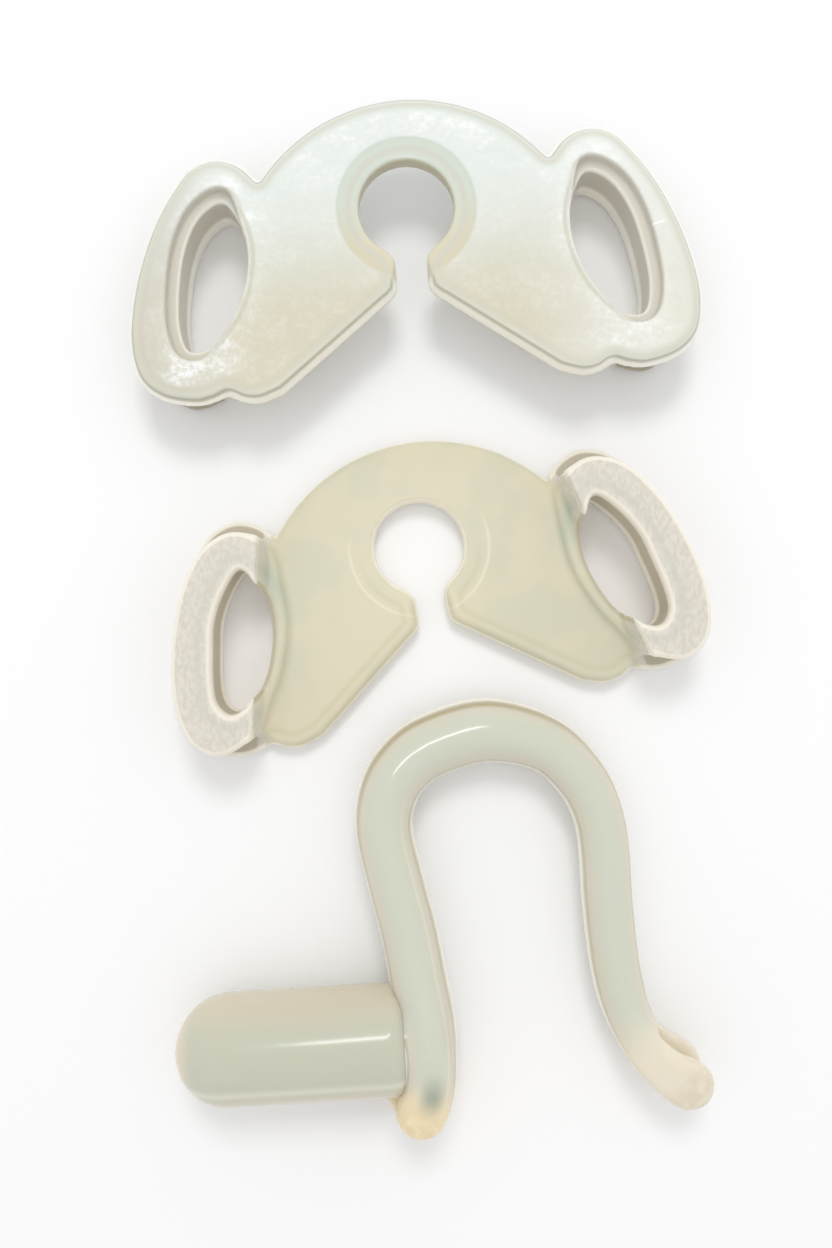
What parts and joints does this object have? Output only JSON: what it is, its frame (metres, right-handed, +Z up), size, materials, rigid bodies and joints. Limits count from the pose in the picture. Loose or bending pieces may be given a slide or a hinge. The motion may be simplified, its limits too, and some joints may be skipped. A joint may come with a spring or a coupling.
{
  "type": "cheek retractor",
  "caption": "Soft clear cheek retractor set: winged keyhole plates with channelled cheek wings, and an omega spring bow with hooked feet and a domed handle rod.",
  "frame": {"origin": "centre of the set's bounding box, at the surface that it lies on", "axes": "+Z up from the surface; +Y from the bow towards the upper plate, along the row of pieces; +X to the right when seen from above"},
  "size_m": [0.0934, 0.1632, 0.0171],
  "materials": {
    "frosted_silicone": "translucent mint-white silicone with a frosted, pearly front and smooth bright rims",
    "milky_silicone": "translucent beige-green silicone, satin, with silver-grey brushed wing flanges",
    "bow_silicone": "translucent greenish-grey silicone, glossy, with a long soft highlight",
    "handle_silicone": "translucent grey-green silicone, satin gloss, peach tint at the domed end"
  },
  "bodies": {
    "bow": {"bow_left_leg": "bow_silicone", "handle_rod": "handle_silicone"},
    "bow_right": {"bow_right_leg": "bow_silicone"},
    "upper_plate": {"upper_plate_left_half": "frosted_silicone"},
    "upper_plate_right": {"upper_plate_right_half": "frosted_silicone"},
    "lower_plate": {"lower_plate_left_half": "milky_silicone"},
    "lower_plate_right": {"lower_plate_right_half": "milky_silicone"}
  },
  "joints": [
    {"name": "bow_squeeze", "type": "hinge", "parent": "bow", "child": "bow_right", "pos_m": [0.00969, -0.01752, 0.0053], "axis": [0, 0, 1], "range_deg": [-22, 10], "stiffness_Nm_per_rad": 0.1},
    {"name": "upper_plate_lift", "type": "slide", "parent": "bow", "child": "upper_plate", "axis": [0, 0, 1], "range_m": [0, 0.03]},
    {"name": "upper_plate_slot", "type": "hinge", "parent": "upper_plate", "child": "upper_plate_right", "pos_m": [-0.00439, 0.07663, 0.008], "axis": [0, 0, 1], "range_deg": [-5, 14], "stiffness_Nm_per_rad": 0.15},
    {"name": "lower_plate_lift", "type": "slide", "parent": "bow", "child": "lower_plate", "axis": [0, 0, 1], "range_m": [0, 0.03]},
    {"name": "lower_plate_slot", "type": "hinge", "parent": "lower_plate", "child": "lower_plate_right", "pos_m": [-0.00386, 0.02431, 0.002], "axis": [0, 0, 1], "range_deg": [-5, 14], "stiffness_Nm_per_rad": 0.15}
  ]
}
